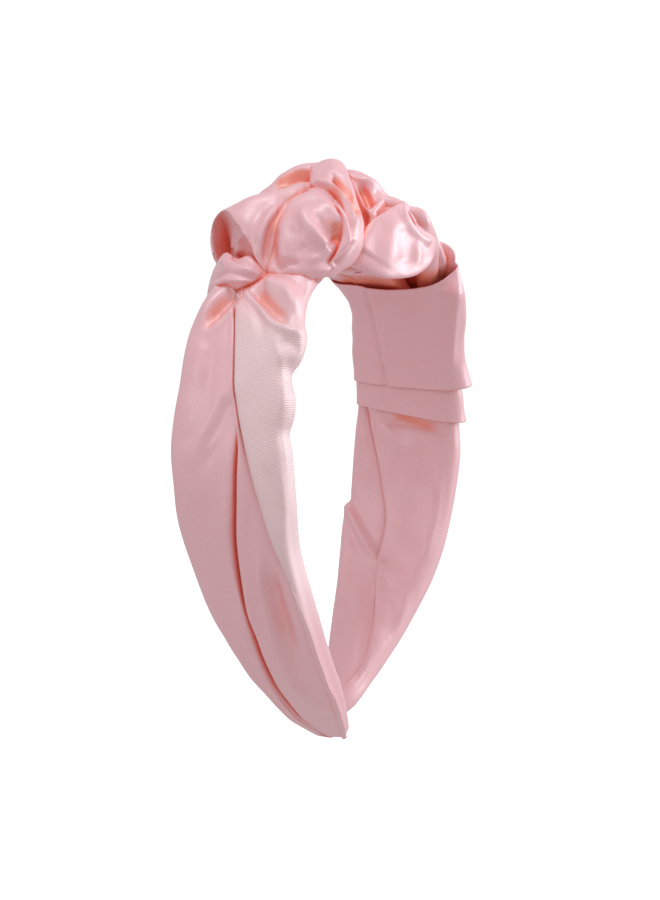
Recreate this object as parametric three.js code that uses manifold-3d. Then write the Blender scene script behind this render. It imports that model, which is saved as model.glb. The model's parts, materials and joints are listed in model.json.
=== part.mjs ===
// A knotted satin headband: a sprung plastic strip bent into an arch, covered by satin sleeves,
// with a wide satin tube knotted over the crown.
//
// Millimetres. -Y is the front and +Z is up; left is -X, as seen from the front.
// The origin is the middle of the crown's inner face, where the band sits on the head.
import * as THREE from "three";
import { mergeVertices } from "three/addons/utils/BufferGeometryUtils.js";
import Module from "manifold-3d";

const wasm = await Module();
wasm.setup();

// ---- Driving dimensions -------------------------------------------------------------------------

const COVER_INNER = 3.2; // from the strip's centre line to the inner face of the cover
const COVER_OUTER = 3.0; // and to its outer face
const STRIP_HALF = 1.0; // half the plastic strip's thickness
const GAP = 0.3; // between pieces that touch
const TAPE_THICK = 0.6;
const TAPE_HALF_WIDTH = 4;
const DEPTH = 90; // longer than any piece is deep, for the cuts
const FACET = 6; // the length of one straight step along the arch

const HINGE = 30; // arc length from the crown's middle to where an arm flexes
const ARM_CLEAR = 1.3; // each side of the flex line
const CUFF_START = 35; // arc lengths of the two cuffs on the right arm
const CUFF_STEP = 66;
const CUFF_END = 78;
const STRIP_END = 8; // the strip stops short of the cover's tip

// Half of the arch, as the strip's centre line from the crown's middle to a tip: [x, z].
const HALF_ARCH = [
  [0, COVER_INNER],
  [22, 1.5],
  [40, -7.5],
  [52, -24],
  [57.5, -44],
  [57.5, -64],
  [52, -85],
  [41, -104],
  [27, -119],
  [12, -130],
];

// The cover's half width and the sideways drift of its middle, at heights down an arm: [z, half, drift].
const COVER_PLAN = [
  [12, 18, 0],
  [-12, 18, 0],
  [-35, 18, 0],
  [-60, 17.5, 1],
  [-85, 15.5, 3],
  [-105, 12.5, 4.6],
  [-120, 8.5, 6],
  [-128, 4.5, 7],
  [-131, 2, 7.4],
];
// How far the strip's edges lie inside the cover's, at the same heights: it is narrowest under the knot.
const STRIP_INSETS = [9.5, 9.5, 6.4, 4.6, 4.6, 4.6, 4.6, 4.6, 4.6];
const LEFT_DRIFT = -1; // the left tip drifts to the front, the right tip to the back
const RIGHT_DRIFT = 1;

const KNOT = {
  top: 34, // above the inner face
  halfDepth: 24,
  strapHalf: 5, // half the strap's width
  strapThick: 5,
  strapMiddle: -7, // where the strap crosses the crown
  strapTurn: THREE.MathUtils.degToRad(-41), // its turn about +Z from straight across
  armClear: 7, // room over the arms for their flex
  wall: 2, // room between the strap and the loop inside it
};
const TIE_WIDTH = 3;

// ---- Solids ---------------------------------------------------------------------------------------

// A closed geometry as a manifold solid.
function solid(geometry) {
  const bare = geometry.index ? geometry.toNonIndexed() : geometry.clone();
  bare.deleteAttribute("normal");
  bare.deleteAttribute("uv");
  const merged = mergeVertices(bare, 1e-4);
  return new wasm.Manifold(
    new wasm.Mesh({
      numProp: 3,
      vertProperties: merged.attributes.position.array,
      triVerts: new Uint32Array(merged.index.array),
    }),
  );
}

// A manifold solid as a three.js geometry.
function geometryOf(body) {
  const mesh = body.getMesh();
  const points = new Float32Array(mesh.numVert * 3);
  for (let i = 0; i < mesh.numVert; i++) {
    points.set(mesh.vertProperties.subarray(i * mesh.numProp, i * mesh.numProp + 3), i * 3);
  }
  const geometry = new THREE.BufferGeometry();
  geometry.setAttribute("position", new THREE.BufferAttribute(points, 3));
  geometry.setIndex(new THREE.BufferAttribute(new Uint32Array(mesh.triVerts), 1));
  const flat = geometry.toNonIndexed();
  flat.computeVertexNormals();
  return flat;
}

function box(low, high) {
  const size = high.map((value, i) => value - low[i]);
  const geometry = new THREE.BoxGeometry(...size);
  geometry.translate(...low.map((value, i) => value + size[i] / 2));
  return solid(geometry);
}

// An outline in X and Z, made DEPTH deep along Y.
function frontExtrusion(outline) {
  const geometry = new THREE.ExtrudeGeometry(new THREE.Shape(outline), {
    depth: DEPTH,
    bevelEnabled: false,
  });
  geometry.rotateX(Math.PI / 2);
  geometry.translate(0, DEPTH / 2, 0);
  return solid(geometry);
}

// An outline in Y and Z, made along X between two values.
function sideGeometry(outline, low, high) {
  const geometry = new THREE.ExtrudeGeometry(new THREE.Shape(outline), {
    depth: high - low,
    bevelEnabled: false,
  });
  // The outline's own x and y become Y and Z, and its depth becomes X.
  geometry.applyMatrix4(
    new THREE.Matrix4().makeBasis(
      new THREE.Vector3(0, 1, 0),
      new THREE.Vector3(0, 0, 1),
      new THREE.Vector3(1, 0, 0),
    ),
  );
  geometry.translate(low, 0, 0);
  return geometry;
}

function sideExtrusion(outline, low, high) {
  return solid(sideGeometry(outline, low, high));
}

// ---- The arch -------------------------------------------------------------------------------------

const halfPoints = HALF_ARCH.map(([x, z]) => new THREE.Vector2(x, z));
const mirrored = halfPoints
  .slice(1)
  .reverse()
  .map((point) => new THREE.Vector2(-point.x, point.y));
const arch = new THREE.SplineCurve([...mirrored, ...halfPoints]);
arch.arcLengthDivisions = 1200;
const archLength = arch.getLength();
const HALF_LENGTH = archLength / 2;

// The point at a signed arc length from the crown's middle, moved outwards from the centre line.
function archPoint(length, outward) {
  const u = THREE.MathUtils.clamp(0.5 + length / archLength, 0, 1);
  const point = arch.getPointAt(u);
  const along = arch.getTangentAt(u);
  return new THREE.Vector2(point.x - along.y * outward, point.y + along.x * outward);
}

// A strip of the arch between two arc lengths and two distances from the centre line.
function archBand(from, to, inner, outer) {
  const facets = Math.max(3, Math.round((to - from) / FACET));
  const steps = facets | 1; // odd, so that a flat facet lies on the crown's middle
  const outline = [];
  for (let i = 0; i <= steps; i++) {
    outline.push(archPoint(from + ((to - from) * i) / steps, outer));
  }
  for (let i = steps; i >= 0; i--) {
    outline.push(archPoint(from + ((to - from) * i) / steps, inner));
  }
  return frontExtrusion(outline);
}

// The cover's outline from the side, between x values, with its edges moved inwards by inset, which may be
// a list with one value for each height.
function coverPlan(drift, inset, low, high) {
  const edge = (sign) =>
    new THREE.SplineCurve(
      COVER_PLAN.map(
        ([z, half, shift], i) =>
          new THREE.Vector2(shift * drift + sign * Math.max(half - (inset[i] ?? inset), 0.8), z),
      ),
    ).getPoints(28);
  return sideExtrusion([...edge(-1), ...edge(1).reverse()], low, high);
}

const SIDES = {
  left: { sign: -1, drift: LEFT_DRIFT, low: -DEPTH, high: -1 },
  right: { sign: 1, drift: RIGHT_DRIFT, low: 1, high: DEPTH },
};

// Part of one arm: arc lengths count from the crown's middle towards that arm's tip.
function armBand(side, from, to, inner, outer, inset) {
  const { sign, drift, low, high } = SIDES[side];
  const ends = [from * sign, to * sign].sort((a, b) => a - b);
  return archBand(ends[0], ends[1], inner, outer).intersect(coverPlan(drift, inset, low, high));
}

// Part of the crown, with straight edges.
function crownBand(reach, inner, outer, half) {
  return archBand(-reach, reach, inner, outer).intersect(
    box([-DEPTH, -half, -DEPTH], [DEPTH, half, DEPTH]),
  );
}

const STRIP_SPACE = {
  inner: -(STRIP_HALF + 2 * GAP + TAPE_THICK + GAP / 2),
  outer: STRIP_HALF + GAP,
};

// ---- Materials --------------------------------------------------------------------------------------

const satin = (color) => new THREE.MeshStandardMaterial({ color, roughness: 0.35, metalness: 0 });
const materials = {
  sleeve: satin(0xe6b8bd),
  knot: satin(0xeabfc4),
  cuff: satin(0xdfaeb4),
  core: new THREE.MeshStandardMaterial({ color: 0xf1ece6, roughness: 0.45, metalness: 0 }),
  tape: new THREE.MeshStandardMaterial({ color: 0xe9dcb8, roughness: 0.6, metalness: 0 }),
  thread: new THREE.MeshStandardMaterial({ color: 0xe2a9ae, roughness: 0.7, metalness: 0 }),
};

// ---- Pieces -------------------------------------------------------------------------------------------

function coreArm(side) {
  return armBand(
    side,
    HINGE + ARM_CLEAR / 2,
    HALF_LENGTH - STRIP_END,
    -STRIP_HALF,
    STRIP_HALF,
    STRIP_INSETS,
  );
}

function coreCrown() {
  return crownBand(
    HINGE - ARM_CLEAR / 2,
    -STRIP_HALF,
    STRIP_HALF,
    COVER_PLAN[0][1] - STRIP_INSETS[0],
  );
}

// The tape under the strip that the cover's turned edges are stuck to.
function tapeArm(side) {
  const outer = -(STRIP_HALF + GAP);
  const lane = armBand(side, HINGE + 6, HALF_LENGTH - 16, outer - TAPE_THICK, outer, 0);
  const { sign, drift } = SIDES[side];
  const middle = COVER_PLAN.map(([z, , shift]) => new THREE.Vector2(shift * drift, z));
  const edge = (offset) => middle.map((point) => new THREE.Vector2(point.x + offset, point.y));
  const path = [...edge(-TAPE_HALF_WIDTH), ...edge(TAPE_HALF_WIDTH).reverse()];
  return lane.intersect(sideExtrusion(path, sign < 0 ? -DEPTH : 0, sign < 0 ? 0 : DEPTH));
}

function sleeve(side) {
  const skin = armBand(
    side,
    HINGE + ARM_CLEAR,
    HALF_LENGTH,
    -COVER_INNER,
    COVER_OUTER,
    0,
  );
  const space = armBand(
    side,
    HINGE - 5,
    HALF_LENGTH - STRIP_END + 2 * GAP,
    STRIP_SPACE.inner,
    STRIP_SPACE.outer,
    STRIP_INSETS.map((inset) => inset - GAP),
  );
  return skin.subtract(space);
}

function crownWrap() {
  const skin = crownBand(HINGE - ARM_CLEAR, -COVER_INNER, COVER_OUTER, COVER_PLAN[0][1]);
  const space = crownBand(
    HINGE + 5,
    -(STRIP_HALF + GAP),
    STRIP_SPACE.outer,
    COVER_PLAN[0][1] - STRIP_INSETS[0] + GAP,
  );
  return skin.subtract(space);
}

// A cuff: the folded end of the knot's tube, around the right sleeve.
function cuff(from, to, loose, wider) {
  const shell = armBand(
    "right",
    from,
    to,
    -COVER_INNER - GAP - loose,
    COVER_OUTER + GAP + 2 * loose,
    -GAP - wider,
  );
  const space = armBand("right", from - 6, to + 6, -COVER_INNER - GAP, COVER_OUTER + GAP, -GAP);
  return shell.subtract(space);
}

// The space over the crown wrap, and clear of the arms as they flex.
function knotSpace() {
  const above = archBand(-HALF_LENGTH / 2, HALF_LENGTH / 2, COVER_OUTER + GAP, 60);
  const reach = HINGE - ARM_CLEAR;
  const overArms = [-1, 1].map((sign) => {
    const ends = [reach * sign, HALF_LENGTH * 0.6 * sign].sort((a, b) => a - b);
    return archBand(ends[0], ends[1], -DEPTH / 3, KNOT.armClear);
  });
  return above.subtract(overArms[0]).subtract(overArms[1]);
}

function lump(centre, radii) {
  const geometry = new THREE.SphereGeometry(1, 22, 14);
  geometry.rotateX(Math.PI / 2);
  geometry.scale(...radii);
  geometry.translate(...centre);
  return solid(geometry);
}

// Puts a geometry made straight across the crown where the strap crosses it.
function atStrap(geometry) {
  geometry.rotateZ(KNOT.strapTurn);
  geometry.translate(KNOT.strapMiddle, 0, 0);
  return solid(geometry);
}

// Half an oval in Y and Z that stands on z = 0.
function ovalOutline(halfDepth, height) {
  const steps = 20;
  return Array.from({ length: steps + 1 }, (_, i) => {
    const turn = (Math.PI * i) / steps;
    return new THREE.Vector2(halfDepth * Math.cos(turn), height * Math.sin(turn));
  });
}

// Everything on one side of the strap.
function besideStrap(sign) {
  const near = KNOT.strapHalf + GAP;
  const block = new THREE.BoxGeometry(DEPTH, 2 * DEPTH, 2 * DEPTH);
  block.translate(sign * (near + DEPTH / 2), 0, 0);
  return atStrap(block);
}

const TACK_PLACES = { left: [-20, 6], right: [12, -6] };

function tackRod(side, radius, low, high) {
  const rod = new THREE.CylinderGeometry(radius, radius, high - low, 12);
  rod.rotateX(Math.PI / 2);
  rod.translate(...TACK_PLACES[side], (low + high) / 2);
  return solid(rod);
}

const tackHole = (side) => tackRod(side, 0.5 + GAP, -COVER_INNER, 18);

// The doubled thread that holds a loop down on the crown wrap.
const tackThread = (side) => tackRod(side, 0.5, COVER_INNER + 1.5, 15);

// The left half of the tube: a full lobe, narrowed to a neck where the strap goes round it.
function leftLoop() {
  const lobe = lump([-17, 4, 14], [20, 21, 18]).intersect(besideStrap(-1));
  const neck = atStrap(
    sideGeometry(
      ovalOutline(
        KNOT.halfDepth - KNOT.strapThick - KNOT.wall,
        KNOT.top - KNOT.strapThick - KNOT.wall,
      ),
      -KNOT.strapHalf - 4,
      KNOT.strapHalf,
    ),
  );
  return lobe.add(neck).intersect(knotSpace()).subtract(tackHole("left"));
}

function strap() {
  const ring = atStrap(
    sideGeometry(ovalOutline(KNOT.halfDepth, KNOT.top), -KNOT.strapHalf, KNOT.strapHalf),
  );
  const inside = atStrap(
    sideGeometry(
      ovalOutline(KNOT.halfDepth - KNOT.strapThick, KNOT.top - KNOT.strapThick),
      -KNOT.strapHalf - 1,
      KNOT.strapHalf + 1,
    ),
  );
  return ring.subtract(inside).intersect(knotSpace());
}

function rightLoop() {
  return lump([10, -1, 10], [24, 26, 19])
    .intersect(besideStrap(1))
    .intersect(knotSpace())
    .subtract(tackHole("right"));
}

// The room that the tie takes at the crown's left end.
function tieSpace() {
  const end = -(HINGE - ARM_CLEAR);
  return archBand(end - 2, end + TIE_WIDTH + GAP, -COVER_INNER, COVER_OUTER + 4 + GAP);
}

// The gathered turn that closes the knot at the left, round the crown wrap.
function leftTie() {
  const end = -(HINGE - ARM_CLEAR);
  const half = COVER_PLAN[0][1];
  const turn = archBand(end, end + TIE_WIDTH, -COVER_INNER - 1.8, COVER_OUTER + 4);
  const space = archBand(end - 5, end + TIE_WIDTH + 5, -COVER_INNER - GAP, COVER_OUTER + GAP);
  return turn
    .intersect(box([-DEPTH, -half - 2, -DEPTH], [DEPTH, half + 2, DEPTH]))
    .subtract(space.intersect(box([-DEPTH, -half - GAP, -DEPTH], [DEPTH, half + GAP, DEPTH])));
}

// ---- The headband ---------------------------------------------------------------------------------------

const pieces = {
  core_crown: [coreCrown(), materials.core],
  core_left: [coreArm("left"), materials.core],
  core_right: [coreArm("right"), materials.core],
  tape_left: [tapeArm("left"), materials.tape],
  tape_right: [tapeArm("right"), materials.tape],
  crown_wrap: [
    crownWrap().subtract(tackHole("left")).subtract(tackHole("right")),
    materials.sleeve,
  ],
  sleeve_left: [sleeve("left"), materials.sleeve],
  sleeve_right: [sleeve("right"), materials.sleeve],
  cuff_upper: [cuff(CUFF_START, CUFF_STEP, 1.6, 1.8), materials.cuff],
  cuff_lower: [cuff(CUFF_STEP + 1, CUFF_END, 1, 0.8), materials.cuff],
  knot_left_loop: [leftLoop().subtract(tieSpace()), materials.knot],
  knot_right_loop: [rightLoop(), materials.knot],
  knot_strap: [strap().subtract(tieSpace()), materials.knot],
  knot_left_tie: [leftTie(), materials.knot],
  tack_thread_left: [tackThread("left"), materials.thread],
  tack_thread_right: [tackThread("right"), materials.thread],
};

const headband = new THREE.Group();
for (const [name, [body, material]] of Object.entries(pieces)) {
  const mesh = new THREE.Mesh(geometryOf(body), material);
  mesh.name = name;
  headband.add(mesh);
}

export default headband;
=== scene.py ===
# %% [markdown]
# # A knotted satin headband
# The real headband is a sprung plastic strip bent into an arch and hidden in satin. A sleeve of satin
# covers each arm, and a wide satin tube is knotted over the crown. We load the measured model first,
# because every piece of cloth has to lie where its plain stand-in lies.

# %% Load the frame
import json
import math

import bpy
import numpy as np
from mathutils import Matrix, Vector, noise
from mathutils.bvhtree import BVHTree

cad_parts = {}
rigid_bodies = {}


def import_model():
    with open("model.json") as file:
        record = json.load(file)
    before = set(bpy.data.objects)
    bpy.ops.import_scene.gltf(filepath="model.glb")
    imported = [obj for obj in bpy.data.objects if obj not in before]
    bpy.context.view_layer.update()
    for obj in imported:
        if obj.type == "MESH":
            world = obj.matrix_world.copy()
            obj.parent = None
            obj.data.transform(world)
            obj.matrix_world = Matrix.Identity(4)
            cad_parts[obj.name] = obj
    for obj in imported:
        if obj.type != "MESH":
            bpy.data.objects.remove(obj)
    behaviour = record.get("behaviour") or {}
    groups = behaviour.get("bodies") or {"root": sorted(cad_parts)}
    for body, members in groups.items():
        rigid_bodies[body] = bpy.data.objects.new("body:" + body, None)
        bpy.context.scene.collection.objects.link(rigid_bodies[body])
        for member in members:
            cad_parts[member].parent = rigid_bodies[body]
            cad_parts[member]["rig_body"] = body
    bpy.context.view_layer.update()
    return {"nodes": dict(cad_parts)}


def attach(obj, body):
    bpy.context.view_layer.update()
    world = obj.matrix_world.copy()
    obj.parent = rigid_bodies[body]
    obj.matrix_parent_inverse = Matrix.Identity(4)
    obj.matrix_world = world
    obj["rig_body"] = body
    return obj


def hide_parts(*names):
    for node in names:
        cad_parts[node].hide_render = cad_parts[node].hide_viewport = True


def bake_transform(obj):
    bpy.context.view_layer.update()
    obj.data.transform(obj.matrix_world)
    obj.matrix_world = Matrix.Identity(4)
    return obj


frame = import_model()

for spare in [o for o in bpy.data.objects
              if not o.get("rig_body") and o.type in {"MESH", "LIGHT", "CAMERA"}]:
    bpy.data.objects.remove(spare)

# %% [markdown]
# ## The view
# A long lens from well back keeps the arch's proportions true. The camera stands to the left and a little
# to the front, hardly above the band's middle, so that the near arm shows its outside and the far arm its
# inside.

# %% Camera
MM = 0.001
VIEW_TURN = math.radians(-64.5)
VIEW_RISE = math.radians(2.5)
VIEW_DISTANCE = 0.8
ARCH_MIDDLE = Vector((0, 0, -0.05))

to_camera = Vector(
    (
        math.sin(VIEW_TURN) * math.cos(VIEW_RISE),
        -math.cos(VIEW_TURN) * math.cos(VIEW_RISE),
        math.sin(VIEW_RISE),
    )
)
lens = bpy.data.cameras.new("view")
lens.lens = 110
lens.clip_end = 20
camera = bpy.data.objects.new("view", lens)
bpy.context.scene.collection.objects.link(camera)
camera.location = ARCH_MIDDLE + to_camera * VIEW_DISTANCE
camera.rotation_euler = to_camera.to_track_quat("Z", "Y").to_euler()
bpy.context.scene.camera = camera
print("the camera stands at", [round(v, 3) for v in camera.location])

# %% [markdown]
# ## Smooth lines and surfaces
# Cloth has no straight facets. Everything here is drawn through a few given points, with a curve that
# passes through each point and never loops between two that are close together. The same function draws
# lines and whole surfaces, because it works on rows of points as well as on single ones.

# %% A smooth line through points
def through(points, steps, closed=False):
    """Points along a smooth line through the given ones, with so many steps from each to the next."""
    p = np.asarray(points, float)
    if closed:
        p = np.concatenate([p[-1:], p, p[:2]])
    else:
        p = np.concatenate([2 * p[:1] - p[1:2], p, 2 * p[-1:] - p[-2:-1]])

    def apart(a, b):
        return np.sqrt(np.maximum(np.linalg.norm(b - a, axis=-1, keepdims=True), 1e-9))

    line = []
    for i in range(1, len(p) - 2):
        a, b, c, d = p[i - 1 : i + 3]
        t1 = apart(a, b)
        t2 = t1 + apart(b, c)
        t3 = t2 + apart(c, d)
        for step in range(steps):
            t = t1 + (t2 - t1) * step / steps
            ab = ((t1 - t) * a + t * b) / t1
            bc = ((t2 - t) * b + (t - t1) * c) / (t2 - t1)
            cd = ((t3 - t) * c + (t - t2) * d) / (t3 - t2)
            abc = ((t2 - t) * ab + t * bc) / t2
            bcd = ((t3 - t) * bc + (t - t1) * cd) / (t3 - t1)
            line.append(((t2 - t) * abc + (t - t1) * bcd) / (t2 - t1))
    if not closed:
        line.append(p[-2])
    return np.array(line)


def graph(table, at):
    """A smooth graph through a table of {place: value}, read at the given places."""
    places = np.array(sorted(table), float)
    values = np.array([table[k] for k in sorted(table)], float)
    slope = np.gradient(values, places)
    at = np.clip(np.asarray(at, float), places[0], places[-1])
    i = np.clip(np.searchsorted(places, at, side="right") - 1, 0, len(places) - 2)
    width = places[i + 1] - places[i]
    t = (at - places[i]) / width
    return (
        (2 * t**3 - 3 * t**2 + 1) * values[i]
        + (t**3 - 2 * t**2 + t) * width * slope[i]
        + (3 * t**2 - 2 * t**3) * values[i + 1]
        + (t**3 - t**2) * width * slope[i + 1]
    )


# %% [markdown]
# ## The arch
# The strip's centre line is the one measure that all the cloth follows. `band_point` turns three plain
# distances into a place: how far along the strip from the crown's middle, how far across it, and how far
# off its centre line. It is easier to sew in those terms than in X, Y and Z.

# %% The strip's centre line
HALF_ARCH = [
    (0, 3.2), (22, 1.5), (40, -7.5), (52, -24), (57.5, -44),
    (57.5, -64), (52, -85), (41, -104), (27, -119), (12, -130),
]
whole_arch = [(-x, z) for x, z in HALF_ARCH[:0:-1]] + HALF_ARCH
arch_line = through(whole_arch, 60)
arch_along = np.concatenate([[0], np.cumsum(np.linalg.norm(np.diff(arch_line, axis=0), axis=1))])
arch_along -= arch_along[-1] / 2
ARM_LENGTH = arch_along[-1]
arch_way = np.gradient(arch_line, arch_along, axis=0)
print(f"the strip is {2 * ARM_LENGTH:.0f} mm long")


def band_point(side, along, across, off):
    """Places in millimetres: side -1 is the left arm and 1 the right one."""
    s = np.asarray(along, float) * side
    x = np.interp(s, arch_along, arch_line[:, 0])
    z = np.interp(s, arch_along, arch_line[:, 1])
    way_x = np.interp(s, arch_along, arch_way[:, 0])
    way_z = np.interp(s, arch_along, arch_way[:, 1])
    beyond = np.maximum(np.abs(s) - ARM_LENGTH, 0) * side
    x, z = x + way_x * beyond, z + way_z * beyond
    y = np.broadcast_to(np.asarray(across, float), x.shape)
    return np.stack([x - way_z * off, y, z + way_x * off], axis=-1)


# %% [markdown]
# The knot sits askew on the crown, so it has axes of its own: `along` runs the way the knot is widest,
# `out` points to the side where its folds open, and the third is straight up.

# %% The knot's own axes
KNOT_ALONG = np.array([math.cos(VIEW_TURN), math.sin(VIEW_TURN), 0])
KNOT_OUT = np.array([math.sin(VIEW_TURN), -math.cos(VIEW_TURN), 0])
print("along is", KNOT_ALONG.round(2), "and out is", KNOT_OUT.round(2))


def knot_place(points):
    """Turns (along, up, out) into X, Y, Z."""
    p = np.asarray(points, float)
    return p[..., :1] * KNOT_ALONG + p[..., 1:2] * np.array([0, 0, 1]) + p[..., 2:3] * KNOT_OUT


# %% [markdown]
# ## Folds
# A fold is drawn on the cloth like a chalk line and then raised or pressed in. A ridge is rounded, a
# crease is sharp, and a step is the edge of a layer that lies on another one. Each fades out at its ends,
# which is how real folds run out into flat cloth. The lines are drawn as (along, up) in the knot's axes.

# %% Draw a fold
def ease(t):
    t = np.clip(t, 0, 1)
    return t * t * (3 - 2 * t)


def fold(chart, points, height, width, kind="ridge", fade=(0.25, 0.25)):
    """How far one fold lifts the cloth at each place of a chart of (along, up)."""
    line = through(points, 14)
    flat = chart.reshape(-1, 2)
    near = np.empty(len(flat), int)
    for start in range(0, len(flat), 20000):
        part = flat[start : start + 20000]
        near[start : start + 20000] = ((part[:, None] - line[None]) ** 2).sum(-1).argmin(1)
    way = np.gradient(line, axis=0)[near]
    gap = flat - line[near]
    length = np.maximum(np.linalg.norm(way, axis=1), 1e-9)
    sideways = (way[:, 0] * gap[:, 1] - way[:, 1] * gap[:, 0]) / length
    past = (way[:, 0] * gap[:, 0] + way[:, 1] * gap[:, 1]) / length
    t = near / (len(line) - 1)
    strength = ease((t + 0.02) / max(fade[0], 0.02)) * ease((1.02 - t) / max(fade[1], 0.02))
    strength = strength * np.exp(-((past / width) ** 2))
    if kind == "ridge":
        lift = np.exp(-((sideways / width) ** 2))
    elif kind == "crease":
        lift = np.exp(0.25 - np.sqrt((sideways / width) ** 2 + 0.0625))
    else:
        lift = ease(0.5 + sideways / 0.5) * np.exp(-np.maximum(sideways, 0) / width)
    return (height * strength * lift).reshape(chart.shape[:2])


def drawn(chart, folds):
    total = np.zeros(chart.shape[:2])
    for points, height, width, *rest in folds:
        total += fold(chart, points, height, width, **(rest[0] if rest else {}))
    return total


def view_chart(places):
    return np.stack([places @ KNOT_ALONG, places[..., 2]], axis=-1)


def unevenness(places, size, seed):
    """A small smooth unevenness, because stretched cloth is never quite true."""
    flat = places.reshape(-1, 3) / size + seed
    return np.array([noise.noise(Vector(p)) for p in flat]).reshape(places.shape[:2])


middle_lift = fold(np.array([[[5.0, 0.0]]]), [(0, 0), (5, 0), (10, 0)], 1, 2)[0, 0]
print(f"a ridge drawn 1 mm high lifts the cloth {middle_lift:.2f} mm at its middle")


# %% [markdown]
# ## Cloth
# A grid of points becomes a sheet of cloth with a real thickness, so that every hem has an edge. Its UV
# map is in metres along and across the cloth, which keeps the weave at its true size.

# %% Make a sheet of cloth
CLOTH_THICK = 0.35


def cloth(name, grid, closed=True, weave=None):
    """Makes a mesh object from a grid of points in millimetres, with the faces outwards."""
    rows, columns = grid.shape[:2]
    v = np.concatenate([[0], np.cumsum(np.linalg.norm(np.diff(grid, axis=0), axis=-1).mean(1))])
    ring = np.concatenate([grid, grid[:, :1]], axis=1) if closed else grid
    u = np.concatenate([[0], np.cumsum(np.linalg.norm(np.diff(ring, axis=1), axis=-1).mean(0))])
    faces, uvs = [], []
    for i in range(rows - 1):
        for j in range(columns if closed else columns - 1):
            k = (j + 1) % columns
            faces.append((i * columns + j, i * columns + k, (i + 1) * columns + k, (i + 1) * columns + j))
            uvs += [(u[j], v[i]), (u[j + 1], v[i]), (u[j + 1], v[i + 1]), (u[j], v[i + 1])]
    mesh = bpy.data.meshes.new(name)
    mesh.from_pydata((grid.reshape(-1, 3) * MM).tolist(), [], faces)
    mesh.uv_layers.new(name="cloth").data.foreach_set("uv", (np.array(uvs) * MM).astype(np.float32).ravel())
    twill = mesh.attributes.new("twill", "FLOAT", "POINT")
    if weave is not None:
        twill.data.foreach_set("value", weave.astype(np.float32).ravel())
    piece = bpy.data.objects.new(name, mesh)
    bpy.context.scene.collection.objects.link(piece)
    middle = np.repeat(grid.mean(1)[:-1], columns if closed else columns - 1, axis=0)
    centres = np.array([p.center for p in mesh.polygons]) / MM
    facing = np.array([p.normal for p in mesh.polygons])
    if ((centres - middle) * facing).sum() < 0:
        mesh.flip_normals()
    wall = piece.modifiers.new("cloth", "SOLIDIFY")
    wall.thickness = CLOTH_THICK * MM
    wall.offset = -1
    bpy.ops.object.select_all(action="DESELECT")
    bpy.context.view_layer.objects.active = piece
    piece.select_set(True)
    bpy.ops.object.modifier_apply(modifier=wall.name)
    bpy.ops.object.shade_smooth()
    print(f"{name}: {2 * len(piece.data.polygons)} triangles")
    return piece


# %% [markdown]
# ## Sleeves
# A sleeve is drawn as one section after another along its arm. A section goes once round the strip: each
# of its points is a distance across the strip and a distance off it. A lapped edge is a real fold, so the
# section runs under the upper layer, turns, and comes back over itself.

# %% Sweep a section along an arm
STRIP_CLEAR = 1.7


def sweep(side, section, start, end, rows, spans, seen_side, folds, rough):
    """Carries section(along) down an arm and draws the folds on the side that is seen."""
    alongs = np.linspace(start, end, rows)
    sections = np.array([through_uneven(section(a), spans) for a in alongs])
    across, off = sections[..., 0], sections[..., 1]
    along = np.broadcast_to(alongs[:, None], across.shape)
    places = band_point(side, along, across, off)
    seen = ease((off * seen_side - 0.4) / 2.2)
    lift = drawn(view_chart(places), folds) * seen
    lift += rough * unevenness(places * [1, 1, 0.45], 5.5, 3.1 + side) * ease((np.abs(off) - 0.4) / 2.2)
    lifted = off + lift * np.sign(off)
    tip = ease((ARM_LENGTH + 0.5 - along) / 5)
    keep = STRIP_CLEAR * tip * ease((np.abs(off) - 0.2) / 1.2)
    lifted = np.where(off > 0, np.maximum(lifted, np.minimum(off, keep)),
                      np.minimum(lifted, np.maximum(off, -keep)))
    return band_point(side, along, across, lifted), along, across


def through_uneven(points, spans):
    """A closed smooth line with its own number of steps from each point to the next."""
    fine = through(points, 12, closed=True)
    steps = []
    for i, count in enumerate(spans):
        steps += [12 * i + 12 * k / count for k in range(count)]
    steps = np.array(steps)
    low = np.floor(steps).astype(int) % len(fine)
    part = (steps - np.floor(steps))[:, None]
    return fine[low] * (1 - part) + fine[(low + 1) % len(fine)] * part


print(f"a fold pressed into a sleeve stops {STRIP_CLEAR} mm from the strip's centre line")

# %% [markdown]
# The near arm shows three lanes of cloth. The back lane rolls into a deep groove, the middle lane rises
# from it, and the front lane lies over the middle one with a sharp folded edge.

# %% The left sleeve
LEFT_BACK = {8: 9.8, 20: 12.5, 31: 17.6, 41: 18.7, 48: 19.2, 54: 19.7, 61: 19.5, 70: 19.2, 79: 19.8,
             88: 20.0, 97: 19.2, 108: 18.2, 118: 16.1, 129: 13.9, 139: 11.5, 150: 8.8, 162: 5.0, 174: 1.6,
             182: -1.0, 186: -3.4, 188.4: -6.0, 190: -8}
LEFT_FRONT = {18: -9.5, 24: -9.6, 30.6: -10.3, 37: -11.0, 42: -11.8, 46: -12.7, 50.6: -13.9, 54: -15.5,
              57.4: -16.0, 62: -15.5, 66: -13.6, 68.5: -14.0, 72: -15.4, 75.5: -16.0, 79.8: -15.5,
              82: -14.9, 88.4: -16.0, 100: -17.0, 115: -17.1, 126.5: -18.4, 138: -18.9, 146: -18.8,
              156: -18.5, 166: -17.5, 176: -15.1, 182: -13.4, 186: -11.8, 188.4: -9.8, 190: -8}
LANE = {20: 10, 36: 8.8, 43: 7.4, 58: 2.9, 74.5: -1, 90: -5.9, 106: -10.9, 121: -15.1, 135: -17.6,
        149: -18.3, 170: -16.2, 189: -9.2}
GROOVE = {**{a: y + 1.0 for a, y in LANE.items() if a < 75}, 78: -1.5, 82: -1.9, 101: -1.5, 113: -0.7,
          125: -0.8, 141: -1.1, 156: -1.4, 167: -2.4, 178: -5, 189: -8.8}


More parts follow.
